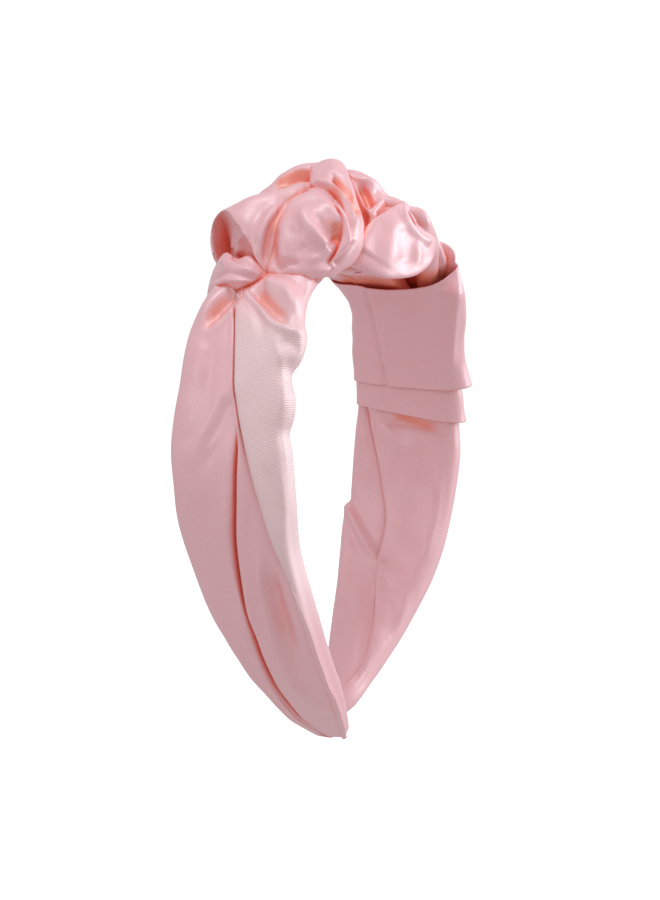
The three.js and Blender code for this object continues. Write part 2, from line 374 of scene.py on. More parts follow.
def left_section(a):
    b, f, v, c = (float(graph(t, a)) for t in (LEFT_BACK, LEFT_FRONT, GROOVE, LANE))
    c = max(c, f + 0.9)
    groove = float(ease((a - 80) / 13) * ease((186 - a) / 22))
    lap = float(ease((a - 42) / 12) * ease((134 - a) / 26))
    low = -1.95 - 1.45 * float(ease((a - 26) / 20))
    v = max(v, c + 0.9)
    e = min(1.0, (v - c) / 3)
    k = float(graph({18: 1, 166: 1, 180: 0.8, 186: 0.55, 188.4: 0.15, 190: 0.1}, a))
    top = 4.7
    over, under = 0.5 * lap, 0.75 * lap
    points = [
        (b, 0.0), (b - 0.5, 2.0), (b - 2.2, 3.7), (b - 0.36 * (b - v), top + 0.2),
        (b - 0.66 * (b - v), top + 0.1), (v + 0.18 * (b - v), top + 0.25 * groove), (v + 1.0, top - 0.1),
        (v + 0.45, top - 1.1 * groove), (v, top - 3.0 * groove), (v - 0.35 * e, top - 1.2 * groove),
        (v - 0.9 * e, top - 0.1), (v - 0.4 * (v - c), top), (v - 0.68 * (v - c), top - 0.2 - 0.2 * lap),
        (c + 0.13 * (v - c), top - 0.1 - under * 0.8), (c - 0.9, top - under - 0.1),
        (c - 1.3, top - 0.4 * under), (c + 0.12 * lap * e - 0.9 * (1 - lap), top - 0.1 * lap),
        (c - 0.5 - 0.8 * (1 - lap), top + over), (c - 0.35 * (c - f), top + 0.2 + 0.6 * over),
        (c - 0.68 * (c - f), top), (f + 0.12 * (c - f), top - 0.8), (f + 0.25, 1.9), (f, 0.0),
        (f + 0.4, -1.6), (f + 0.14 * (b - f), 0.92 * low), (f + 0.35 * (b - f), low),
        (f + 0.65 * (b - f), low), (b - 0.14 * (b - f), 0.92 * low), (b - 0.4, -1.6),
    ]
    return [(y, n * k) for y, n in points]


print("the left sleeve's section half way down:", len(left_section(90)), "points")

# %% [markdown]
# The section alone gives the lanes. The pinches, drag lines, ridges and hollows are drawn over them. Each
# line's points are (along the knot, up), then come its height and its width in millimetres.

# %% The left sleeve's folds
LEFT_SPANS = [3, 4, 11, 11, 9, 5, 3, 3, 3, 3, 8, 8, 5, 3, 2, 3, 3, 8, 9, 8, 5, 3, 3, 4, 6, 6, 6, 4, 3]
left_folds = [
    # The pinch under the tie: a deep crescent with a ridge on each side.
    ([(-25.7, -5.6), (-29.0, -7.9), (-32.1, -11.5), (-34.0, -16.1)], -2.1, 1.9, dict(fade=(0.1, 0.5))),
    ([(-27.1, -2.9), (-30.8, -5.6), (-34.2, -9.8), (-36.2, -14.4)], 1.3, 1.5, dict(fade=(0.05, 0.4))),
    ([(-25.3, -6.5), (-27.8, -10.4), (-31.2, -14.4), (-33.7, -18.3)], 1.1, 1.3, dict(fade=(0.05, 0.4))),
    # Drag lines that slant across the back lane.
    ([(-25.6, -26), (-32.9, -39.0), (-38.7, -54.2)], 0.8, 2.4, dict(fade=(0.3, 0.5))),
    ([(-25.2, -31.5), (-30.8, -43.3), (-36.2, -57.0)], -0.6, 1.8, dict(fade=(0.25, 0.5))),
    ([(-25, -35), (-30.2, -43.6), (-34.6, -50)], 0.4, 0.9, dict(fade=(0.25, 0.3))),
    ([(-30.1, -32.7), (-35.2, -40.3), (-40.3, -48.0)], -0.5, 1.2, dict(fade=(0.3, 0.3))),
    ([(-34.7, -17.2), (-36.4, -23.9), (-38.3, -32.9)], 0.7, 2.2, dict(fade=(0.3, 0.4))),
    ([(-32, -19), (-33, -27), (-34, -35)], -0.6, 1.8, dict(fade=(0.3, 0.4))),
    ([(-36, -58), (-36, -70), (-33, -84), (-28, -97)], -0.7, 4.0, dict(fade=(0.3, 0.4))),
    ([(-28.5, -54.4), (-27.9, -67.2), (-26.6, -78.7), (-22.9, -90.9), (-18.8, -101.1)], 0.9, 1.3),
    # The cloth between the pinch and the front edge.
    ([(-21.5, -3.6), (-16.0, -9.0), (-11.2, -13.4)], -2.2, 2.3, dict(fade=(0.15, 0.3))),
    ([(-17.9, -2.3), (-13.4, -3.4), (-9.8, -6.9), (-8.4, -11.6)], 1.9, 1.9, dict(fade=(0.1, 0.3))),
    ([(-12, 0.4), (-7.2, -3.4), (-5.4, -8.6)], -0.9, 1.6, dict(fade=(0.3, 0.3))),
    ([(-24.5, -4.2), (-20.0, -8.0), (-15.4, -13.2), (-10.9, -15.3), (-6.3, -16.4)], 1.5, 1.0,
     dict(fade=(0.1, 0.02))),
    ([(-14.2, -17.9), (-10.4, -18.9), (-8.4, -22.4)], -0.9, 1.5, dict(fade=(0.3, 0.4))),
    ([(-15.8, -16.5), (-12.8, -23.9), (-12.0, -31.8), (-12.5, -39.7)], 0.9, 1.3, dict(fade=(0.3, 0.3))),
    ([(-25, -4.6), (-22, -7.6), (-19.4, -12), (-18, -18)], -0.8, 1.2, dict(fade=(0.1, 0.4))),
    # The front lane's long roll, and the hollow behind it.
    ([(-11.9, -37.1), (-10.9, -48.0), (-9.0, -62.1), (-8.2, -74.9)], 1.5, 1.3, dict(fade=(0.3, 0.3))),
    ([(-18.6, -49.9), (-15.4, -57.6), (-12.2, -69.8)], -0.6, 2.2, dict(fade=(0.4, 0.3))),
    # The middle lane's ridge and hollow.
    ([(-19.6, -74.9), (-18.6, -85.1), (-16.0, -97.9), (-10.9, -111.4), (-5.2, -119.7)], 2.0, 1.6),
    ([(-17.6, -76), (-15.4, -85.1), (-12.2, -96.0), (-8.4, -108.8)], -1.9, 2.0, dict(fade=(0.4, 0.4))),
    ([(-22.2, -60), (-21.8, -72), (-20, -86), (-16.8, -98)], -0.6, 1.3, dict(fade=(0.3, 0.3))),
    ([(-6.0, -96.1), (-1.5, -108.7), (2.3, -117.8)], 0.7, 1.1, dict(fade=(0.3, 0.3))),
    ([(-5.8, -119.0), (-2.0, -120.9), (2.5, -120.2)], 0.6, 1.4),
]
grid, along, across = sweep(-1, left_section, 2, ARM_LENGTH + 1.6, 262, LEFT_SPANS, 1, left_folds, 0.35)
front_lane = np.array([graph(LANE, a) for a in along[:, 0]])[:, None]
on_lane = ease((front_lane + 0.3 - across) / 0.6) * ease((150 - along) / 40)
on_lane = on_lane * (0.3 + 0.7 * ease((along - 46) / 14))
sleeve_left = cloth("left_sleeve_cloth", grid, weave=on_lane)
print(f"{len(left_folds)} folds on the left sleeve")

# %% [markdown]
# On the far arm we see the inside, where one turned-in edge of the cloth lies over the other and makes a
# long lap. A diagonal tuck near the bottom takes up spare cloth.

# %% The right sleeve
RIGHT_BACK = {18: 9.5, 40: 9.7, 50: 10.9, 58: 12.6, 69: 15.2, 78: 16.2, 84: 17.4, 94: 18.8, 105.6: 19.4,
              108.4: 19.5, 110.6: 20.8, 114.5: 21.3, 123.6: 21.0, 134: 20.0, 146: 18.6, 158: 16.5,
              172: 13.2, 180: 11.0, 187: 8.2, 190: 7.6}
RIGHT_FRONT = {18: -9.5, 42: -10.2, 58: -13.4, 69: -15.6, 74: -16.2, 84.5: -15.9, 91.7: -16.1,
               102.5: -15.1, 113.4: -13.7, 124.4: -12.2, 134.4: -10.0, 145: -7.1, 158: -3.9, 170: -1.0,
               180: 1.0, 187: 4.8, 190: 7.2}
LAP = {18: 3, 50: 8, 64: 12, 76: 11.9, 102: 7.1, 115: 4.7, 129: 5.3, 143: 3.2, 157: 1.5, 172: 2.2,
       182: 5.2, 189: 7.8}


def right_section(a):
    b, f, s = (float(graph(t, a)) for t in (RIGHT_BACK, RIGHT_FRONT, LAP))
    k = float(graph({18: 1, 166: 1, 180: 0.8, 186: 0.5, 188.5: 0.12, 190: 0.1}, a))
    lap = float(ease((a - 40) / 20))
    low = -1.95 - 0.95 * float(ease((a - 26) / 20)) - 0.6 * float(ease((a - 76) / 10))
    points = [
        (b, 0.0), (b - 0.4, -1.7), (b - 0.16 * (b - s), low), (b - 0.5 * (b - s), low - 0.3),
        (s + 1.1, low - 0.1), (s - 0.9, low + 0.3 * lap), (s - 1.3, low - 0.3 * lap),
        (s - 1.0 + 1.15 * lap, low - 0.75 * lap), (s - 1.4 + lap, low - 1.25 * lap),
        (s - 0.3 * (s - f), low - 1.2 * lap), (s - 0.62 * (s - f), low - 0.9 * lap),
        (f + 0.14 * (s - f), low - 0.1), (f + 0.35, -1.7), (f, 0.0), (f + 0.4, 1.9),
        (f + 0.12 * (b - f), 3.4), (f + 0.35 * (b - f), 4.1), (f + 0.65 * (b - f), 4.1),
        (b - 0.12 * (b - f), 3.4), (b - 0.4, 1.9),
    ]
    return [(y, n * k) for y, n in points]


print("the right sleeve's section half way down:", len(right_section(90)), "points")

# %% [markdown]
# The far arm's folds are few: a shadowed dent under the cuff, the tuck, and long soft ridges.

# %% The right sleeve's folds
RIGHT_SPANS = [3, 5, 9, 8, 3, 2, 3, 3, 9, 12, 12, 7, 3, 3, 4, 7, 8, 7, 4, 3]
right_folds = [
    ([(13.4, -42.7), (20.6, -43.4), (30.0, -44.8), (36.5, -46.6)], -1.4, 2.2, dict(fade=(0.2, 0.2))),
    ([(12.5, -39.8), (14.3, -46.3), (17.4, -56.2)], -0.7, 1.2, dict(fade=(0.1, 0.4))),
    ([(15.5, -39.8), (18, -47), (22.5, -51), (30, -50.5)], 0.7, 2.0, dict(fade=(0.1, 0.4))),
    ([(9.3, -44.8), (11.4, -54.2), (12.1, -64.8)], 0.5, 1.8, dict(fade=(0.2, 0.4))),
    # The diagonal tuck.
    ([(4.6, -69.2), (8.5, -76.0), (12.1, -82.5), (15.4, -86.6)], 1.4, 1.3, dict(fade=(0.02, 0.3))),
    ([(6.4, -67.0), (10.4, -74.6), (14.8, -81.9)], -0.3, 1.6, dict(fade=(0.1, 0.2))),
    ([(4.6, -72.5), (7.5, -80), (10.8, -86)], -0.5, 1.5, dict(fade=(0.1, 0.5))),
    ([(16.9, -84.7), (15.0, -91.5), (14.2, -100.6)], 1.0, 1.2, dict(fade=(0.2, 0.4))),
    ([(15.7, -86.7), (19.2, -90.3), (24.5, -92.5)], 0.9, 1.5, dict(fade=(0.1, 0.5))),
    ([(19.5, -95), (19, -102), (16, -112)], -1.0, 2.3, dict(fade=(0.3, 0.4))),
    ([(8.5, -92.5), (7.8, -105.2), (5.6, -117.3)], 0.9, 2.2, dict(fade=(0.3, 0.4))),
    ([(12.3, -99.7), (10.6, -110.9), (6.4, -121.9)], -0.8, 1.3, dict(fade=(0.3, 0.3))),
    ([(26.0, -56.2), (27.5, -70.7), (24.6, -84.0)], -0.8, 4.2, dict(fade=(0.3, 0.3))),
    ([(24.9, -98.3), (19.9, -109.7), (12.8, -121.9)], 1.2, 1.5, dict(fade=(0.3, 0.3))),
    ([(34, -56), (32.6, -72), (28.6, -88)], 1.1, 1.3, dict(fade=(0.3, 0.3))),
]
grid, along, across = sweep(1, right_section, 2, ARM_LENGTH + 1.6, 262, RIGHT_SPANS, -1, right_folds, 0.35)
sleeve_right = cloth("right_sleeve_cloth", grid)
print(f"{len(right_folds)} folds on the right sleeve")

# %% [markdown]
# ## Rolls and funnels
# Each stretch of the knotted tube is drawn as rings, from one end to the other, and the folds are drawn
# on the side that faces the knot's open side.

# %% Loft rings into cloth
def as_they_are(points):
    return np.asarray(points, float)


def loft(name, rings, folds=(), steps=12, around=14, place=knot_place, rough=0.4, twill=0.0, shut=True):
    rows = through(np.array([place(r) for r in rings], float), steps)
    grid = np.array([through(row, around, closed=True) for row in rows])
    turn = np.cross(np.gradient(grid, axis=0), np.roll(grid, -1, 1) - np.roll(grid, 1, 1))
    turn /= np.maximum(np.linalg.norm(turn, axis=-1, keepdims=True), 1e-9)
    if ((grid - grid.mean(1, keepdims=True)) * turn).sum() < 0:
        turn = -turn
    lift = drawn(view_chart(grid), folds) * ease((turn @ KNOT_OUT) * 2.5 + 0.35)
    lift += rough * unevenness(grid, 6, len(name))
    grid = grid + turn * lift[..., None]
    if shut:
        ends = [[row.mean(0) + (row - row.mean(0)) * share for share in (0.03, 0.3, 0.65)]
                for row in (grid[0], grid[-1])]
        grid = np.concatenate([ends[0], grid, ends[1][::-1]])
    return cloth(name, grid, weave=np.full(grid.shape[:2], twill))


# %% [markdown]
# The tube's far end goes down the right arm as a wide cuff with an open mouth, and a second, narrower
# fold of it shows below.

# %% The cuffs
def cuff_ring(along, back, front, inner, outer, slant=0.0):
    """Twelve points round the right arm, from the back edge over the inner face to the front edge."""
    wide = back - front
    shares = [0, 0.03, 0.16, 0.45, 0.72, 0.9, 1, 0.96, 0.78, 0.48, 0.2, 0.04]
    offs = [-0.4, 0.8 * inner, inner, inner, 0.97 * inner, 0.72 * inner, -0.4, 0.85 * outer, outer, outer,
            outer, 0.8 * outer]
    return [band_point(1, along + slant * t, back - wide * t, n) for t, n in zip(shares, offs)]


print("a cuff ring has", len(cuff_ring(50, 13, -23, -5, 5)), "points")

# %% [markdown]
# The mouth is a slanted ring. Its lip lies close under the crown on the inside and stands well away from
# the arm on the outside, so that we can look into it.

# %% The upper cuff
MOUTH = [
    (20, 10.2, 1.6), (20.6, 8.8, -1.0), (22.4, 4, -1.9), (24, -2, -2.5), (25.6, -7.5, -3.0),
    (28.0, -13.5, -2.9), (31.6, -20.6, -1.0), (35.4, -23.8, 3.0), (36.8, -23.8, 7.6), (37.2, -20.4, 10.8),
    (40, -7, 11), (33.5, 6.5, 8.6),
]
cuff_folds = [
    ([(9.6, -1.0), (11.1, -4.9), (13.6, -13.1), (15.5, -22.5), (17.4, -31.6)], 0.9, 8,
     dict(kind="step", fade=(0.3, 0.02))),
    ([(11.1, -4.9), (13.6, -13.1), (15.5, -22.5), (17.4, -31.6)], -0.8, 0.8, dict(fade=(0.2, 0.02))),
    ([(36.2, 8.4), (37.6, -1.3), (37.0, -16.2), (36.7, -27.1)], 1.2, 1.5, dict(fade=(0.2, 0.2))),
    ([(33.6, 0.0), (33.2, -7.5), (33.6, -24.2)], -0.9, 1.8, dict(fade=(0.2, 0.3))),
    ([(24, -6), (25.5, -16), (26, -26)], -0.6, 4.5, dict(fade=(0.3, 0.2))),
]
upper_rings = [
    MOUTH,
    cuff_ring(35, 10.7, -26.2, -3.8, 6, 2),
    cuff_ring(43, 11.6, -25.2, -4.8, 5.8),
    cuff_ring(50, 13.1, -23.4, -5.6, 5.2),
    cuff_ring(57, 14.6, -21.2, -6.2, 5.0),
    cuff_ring(63, 15.6, -19.9, -6.3, 5.2, 2.0),
    cuff_ring(68.2, 16.3, -20.9, -6.5, 5.8, 3.9),
]
sleeve_up = loft("upper_cuff_cloth", upper_rings, cuff_folds, steps=16, place=as_they_are, rough=0.3,
                 shut=False)

# %% [markdown]
# The lower cuff is the same tube's narrow second fold, and most of it is hidden.

# %% The lower cuff
lower_folds = [
    ([(17.4, -31.0), (16.8, -35.0), (15.0, -38.4)], 0.7, 5, dict(kind="step", fade=(0.02, 0.02))),
    ([(20, -36), (28, -38.4), (36, -40)], 0.5, 1.6, dict(fade=(0.3, 0.3))),
]
lower_rings = [
    cuff_ring(62, 15.4, -17.0, -5.3, 4.8),
    cuff_ring(68, 15.8, -17.2, -5.5, 4.8, 1),
    cuff_ring(73, 16.0, -17.6, -5.7, 5.0, 3.8),
    cuff_ring(76.6, 16.3, -18.0, -5.9, 5.2, 6.6),
]
cuff_low = loft("lower_cuff_cloth", lower_rings, lower_folds, steps=16, place=as_they_are, rough=0.25,
                shut=False)

# %% [markdown]
# Under the knot the strip is wrapped in plain satin, which hardly shows.

# %% The crown's wrap
def crown_section(a):
    return [(9.3, 0), (9, 1.6), (7.5, 2.5), (0, 3), (-7.5, 2.5), (-9, 1.6), (-9.3, 0), (-9, -1.3),
            (-7.5, -1.6), (0, -1.7), (7.5, -1.6), (9, -1.3)]


crown_rows = np.array([
    band_point(1, np.full(96, a), *np.array(through(crown_section(a), 8, closed=True)).T)
    for a in np.linspace(-10, 10, 40)
])
crown_cloth = cloth("crown_wrap_cloth", crown_rows)

# %% [markdown]
# ## The knot
# The rings' points are (along, up, out) in the knot's own axes. The left loop is an open funnel: its last
# rings turn back inside it and close it deep in, where a real loop goes back to the knot.

# %% The left loop
def shrink(ring, share, centre, back):
    return [(centre[0] + (u - centre[0]) * share, centre[1] + (z - centre[1]) * share, d - back)
            for u, z, d in ring]


RIM = [(-18.3, -0.4, 32.6), (-21.6, 7.0, 33.4), (-25.6, 14.4, 30.5), (-29.4, 18.6, 24.5),
       (-32.9, 15.6, 17.5), (-33.6, 10.2, 14.5), (-32.6, 4.6, 16.5), (-29.0, 0.4, 23), (-22.8, -2, 29.6)]
EYE = (-28.0, 8.0)
left_loop_rings = [
    [(-3.4, 25, 10), (-2.8, 25.8, 10.4), (-3, 26.8, 10), (-4, 27.8, 9), (-5, 27.8, 7.4), (-5.4, 26.8, 6),
     (-5, 25.6, 6), (-4.2, 24.8, 7.4), (-3.8, 24.6, 9)],
    [(-8.4, 17.5, 21), (-8.8, 20.8, 22), (-10, 23.9, 20), (-12.5, 25.0, 15), (-13.5, 24, 9), (-12, 21, 4),
     (-9.5, 17.5, 4), (-7.5, 15, 8), (-7.6, 15.4, 15)],
    [(-14.8, 6, 30), (-15.2, 11.5, 31), (-17, 17.8, 29), (-21, 22.2, 22.5), (-24, 19.8, 13), (-23, 13, 6),
     (-20, 6, 6), (-17, 2, 14), (-15, 2.5, 24)],
    RIM,
    shrink(RIM, 0.96, EYE, 0.9),
    shrink(RIM, 0.86, EYE, 4.0),
    shrink(RIM, 0.62, EYE, 8.0),
    shrink(RIM, 0.32, EYE, 10.0),
    shrink(RIM, 0.04, EYE, 10.6),
]
left_loop_folds = [
    ([(-27.3, 17.7), (-22.1, 20.8), (-15.8, 22.5), (-10.0, 24.1), (-6.4, 26.0)], 0.9, 1.8,
     dict(fade=(0.3, 0.2))),
    ([(-13.5, 21.5), (-15.8, 18.0), (-18.1, 14.0), (-19.2, 10.5), (-18.9, 4.7)], 1.3, 1.4,
     dict(fade=(0.3, 0.3))),
    ([(-11.2, 22.3), (-14.2, 18.0), (-16.6, 13.4), (-17.6, 8.0), (-18.0, 2)], -1.4, 1.1,
     dict(fade=(0.3, 0.2))),
    ([(-17, 20.6), (-20.2, 16.4), (-21.9, 11.4), (-21, 5.8)], -0.9, 1.7, dict(fade=(0.3, 0.3))),
    ([(-9, 22.8), (-14, 20.6), (-19, 18.6)], -0.6, 1.3, dict(fade=(0.3, 0.3))),
    ([(-24.5, 13.0), (-25.6, 9.0), (-25.4, 5)], 1.2, 1.0, dict(fade=(0.3, 0.3))),
]
left_loop = loft("left_loop_cloth", left_loop_rings, left_loop_folds, steps=18)

# %% [markdown]
# A second loop lies behind the first. A deep fold runs along its top into the strap.

# %% The back loop
back_loop_rings = [
    [(-2, 30.5, 4), (-1.5, 33, 2), (-1, 33.2, -2), (-0.5, 31, -5), (-0.5, 27.5, -5), (-1, 25, -1),
     (-2, 26, 3), (-2.4, 28.5, 5)],
    [(-7.8, 27.6, 9), (-8.8, 32.0, 2.5), (-7, 32.8, -5), (-4, 28, -11), (-2.5, 21, -11), (-4, 15, -4),
     (-7, 17, 6), (-8.8, 22.5, 12)],
    [(-14.2, 23.6, 11), (-15.8, 27.8, 3.5), (-13.5, 28.2, -6), (-9, 23, -14), (-6, 14, -16.5),
     (-8, 7.5, -9), (-13, 8.5, 4), (-15.8, 15.5, 13)],
    [(-19.4, 19.4, 12), (-22.6, 21.4, 4.5), (-20.5, 21.4, -4), (-15, 16, -13), (-12, 9, -15.5),
     (-13.5, 5, -8.5), (-18.5, 5.5, 3), (-20.5, 12, 12)],
    [(-22.2, 14, 8), (-24.8, 14.6, 3), (-23, 14.2, -3), (-19, 11.5, -9), (-17, 8, -10), (-17.6, 6, -6.5),
     (-20.5, 6.4, 0), (-22.5, 9.8, 6)],
    [(-21.6, 10.6, 1), (-22, 10.8, 0), (-21.6, 10.6, -1), (-21, 10.2, -2), (-20.6, 9.8, -2),
     (-20.6, 9.6, -1), (-21, 9.8, 0), (-21.4, 10.2, 1)],
]
back_loop_folds = [
    ([(-4.2, 28.2), (-8.5, 29.0), (-12.1, 27.4), (-17.2, 24.0)], -2.6, 1.2, dict(fade=(0.02, 0.5))),
    ([(-4.5, 30.9), (-9.6, 30.6), (-14.4, 28.4), (-18.5, 25.0)], 0.9, 1.0, dict(fade=(0.1, 0.4))),
    ([(-6, 26.6), (-11, 26.0), (-16, 23.6)], 0.7, 1.0, dict(fade=(0.1, 0.4))),
]
back_loop = loft("back_loop_cloth", back_loop_rings, back_loop_folds, steps=16)
print(f"{len(back_loop_folds)} folds drawn on it")

# %% [markdown]
# The middle lobe bulges between the two loops and hangs down over the shoulder of the band.

# %% The middle lobe
middle_rings = [
    [(-17.6, -1.4, 31), (-15, -1.6, 33.6), (-10, -1.4, 34.8), (-5, -1.0, 35), (-1.8, -0.4, 34),
     (-4, -2.6, 30), (-13, -2.8, 28)],
    [(-18.0, 1.6, 32.0), (-15, 1.2, 34.8), (-10, 1.0, 36.2), (-4, 1.2, 36.4), (-0.2, 1.4, 34.6),
     (-3, 0.2, 29), (-12, 0.2, 26)],
    [(-17.5, 6.5, 30.0), (-14, 6.4, 33.8), (-8.5, 5.6, 36.0), (-2, 4.6, 34.8), (1.4, 3.8, 30.5),
     (-4, 3, 24), (-12, 4, 22)],
    [(-16.8, 11.4, 28), (-12.8, 12, 32.6), (-5.6, 11.4, 35.4), (1.4, 9.4, 33), (4.2, 7.8, 27),
     (-1, 6.5, 20), (-10, 8, 18)],
    [(-14.6, 16.6, 25), (-10.4, 17.8, 29.6), (-3.4, 17.0, 32), (3.6, 14.4, 29), (5.8, 12.4, 22.4),
     (0, 11, 15), (-8.5, 13, 13.5)],
    [(-10.4, 21.4, 20), (-7, 22.6, 23.4), (-1.8, 22.2, 25), (2.6, 19.8, 22.5), (4.4, 17.4, 17),
     (0, 16.5, 11), (-6, 18.6, 10.5)],
    [(-5.8, 25.0, 14), (-3.6, 25.6, 15.6), (-0.8, 25, 16), (1.6, 23, 15), (2.6, 21.4, 12), (0, 21, 8.5),
     (-3.4, 23, 9)],
]
middle_folds = [
    ([(-8.2, 20.0), (-6.9, 15.4), (-3.6, 11.0), (-0.4, 8.0)], 1.5, 1.7, dict(fade=(0.25, 0.2))),
    ([(-0.2, 8.2), (-2.6, 5.2), (-8.0, 4.2)], 1.0, 1.5, dict(fade=(0.2, 0.4))),
    ([(-4.6, 18.4), (-1.6, 14.2), (1.2, 11.0), (2.4, 8.5)], -1.5, 1.7, dict(fade=(0.3, 0.2))),
    ([(0.9, 15.2), (2.7, 12.2), (3.2, 9.9), (2.5, 7.0)], -1.2, 1.1, dict(fade=(0.3, 0.3))),
    ([(-3.2, 21.6), (1.0, 17.4), (3.8, 13.4), (4.6, 10.0), (3.6, 6.4)], 1.2, 1.0, dict(fade=(0.2, 0.2))),
    ([(-11.6, 17.8), (-13.0, 12.0), (-12.4, 6.2), (-10, 2)], 0.9, 2.2, dict(fade=(0.3, 0.3))),
    ([(-9.8, 14.6), (-9.2, 9.0), (-6.4, 5.6)], -0.9, 1.7, dict(fade=(0.3, 0.3))),
    ([(-14.6, 13.4), (-15.6, 8.0), (-15.2, 2.2)], -0.9, 1.2, dict(fade=(0.3, 0.1))),
    ([(-15.2, 1.2), (-11.8, 3.4), (-7.6, 2.8)], -1.1, 1.0, dict(fade=(0.2, 0.4))),
    ([(-13.4, 19), (-10.2, 21.2), (-5.6, 22.6), (-1.0, 21.8)], 0.6, 0.9, dict(fade=(0.3, 0.3))),
]
middle_lobe = loft("middle_lobe_cloth", middle_rings, middle_folds, steps=18)
print(f"{len(middle_folds)} folds drawn on it")

# %% [markdown]
# The strap is the narrow stretch that goes over the top of the knot and tightens it. It is one bundle of
# pleats, so its folds run along it.

# %% The strap
strap_rings = [
    [(-6, 31, -3), (-4.5, 32.5, -2), (-1, 33.4, -1.5), (2.5, 32.8, -2), (4.5, 30.5, -4), (1, 27, -6),
     (-3.5, 28, -5)],
    [(-6, 28.2, 6), (-5.2, 31.2, 6.5), (-1.4, 33.9, 4.5), (2.8, 33.5, 4), (5, 30.6, 3), (2, 27, -1),
     (-3.4, 26.6, 1)],
    [(-5.6, 26.4, 12.5), (-3, 28.4, 14), (0.6, 30, 13), (4.1, 29.4, 11), (5.9, 27.4, 8), (3, 24, 3),
     (-2.4, 24, 5)],
    [(-2.4, 23.8, 17.5), (0.2, 25.4, 18.6), (3.4, 26, 16.6), (6.2, 25, 13.5), (7.2, 22.8, 9.5),
     (4.4, 20.5, 6), (0, 21.5, 9)],
    [(1.0, 20.2, 24.4), (3.2, 21.4, 25), (5.6, 21.2, 22.6), (7.8, 20, 18.6), (8.8, 18, 13), (6, 16.4, 11),
     (2.4, 17.6, 16)],
    [(3.2, 15.8, 29.5), (5, 16, 29.6), (7.2, 15.4, 26.6), (9, 14.2, 22), (9.5, 12.6, 16.5),
     (7.4, 11.4, 14), (4.4, 12.6, 20)],
    [(3.6, 10.6, 32), (5.6, 10.4, 31.6), (7.8, 9.6, 28), (8.9, 8.4, 23), (8.6, 7, 17.6), (6.4, 6.6, 15),
     (4, 8, 22)],
    [(1.8, 6, 34), (3.8, 5.6, 33.2), (5.8, 4.8, 29.6), (6.4, 4, 25), (5.8, 3.2, 20), (3.6, 3.4, 18),
     (2, 4.6, 25)],
    [(-0.6, 2.8, 34), (1.2, 2.4, 33.4), (3.0, 1.8, 30), (3.0, 1.4, 26), (1.8, 1.0, 22), (0, 1.2, 20),
     (-0.6, 2, 26)],
    [(-2.6, 0.2, 33), (-1.2, 0, 32.6), (0.4, -0.4, 30), (0.6, -0.6, 26), (-0.4, -0.4, 22), (-1.6, 0, 20),
     (-2.6, 0.2, 26)],
]
strap_folds = [
    ([(0.6, 30.2), (2.4, 26.8), (5.4, 23.2), (7.6, 19.2), (8.3, 15.0)], -3.4, 1.0, dict(fade=(0.25, 0.3))),
    ([(-4.3, 27.1), (-0.2, 26.1), (2.7, 23.6), (5.6, 20.4), (7.3, 16.4), (7.9, 12.1)], 1.1, 0.8,
     dict(fade=(0.1, 0.2))),
    ([(3.0, 31.3), (5.4, 26.6), (7.3, 22.5), (8.7, 17.8)], 0.7, 0.8, dict(fade=(0.2, 0.2))),
    ([(-3.4, 25.2), (-0.4, 24.0), (2.2, 21.6), (4.6, 18.4), (6.0, 14.4), (6.4, 10.2)], -1.8, 0.9,
     dict(fade=(0.3, 0.2))),
    ([(1.6, 20.4), (3.8, 17.6), (4.9, 13.6), (5.0, 9.4), (3.4, 5.4)], 1.1, 0.8, dict(fade=(0.2, 0.3))),
    ([(6.9, 10.2), (5.0, 7.0), (2.6, 4.2), (0.9, 2.8)], -1.2, 0.7, dict(fade=(0.2, 0.2))),
    ([(-3.6, 29.4), (-1.6, 31.6), (0.6, 32.6)], -0.5, 1.2, dict(fade=(0.2, 0.3))),
]
strap = loft("strap_cloth", strap_rings, strap_folds, steps=14, around=18, rough=0.25)

# %% [markdown]
# The right loop is the largest. Its cloth leaves the knot in tight folds and opens into a smooth shell,
# which hangs over the cuff's mouth. Its rings are given as plain X, Y and Z.

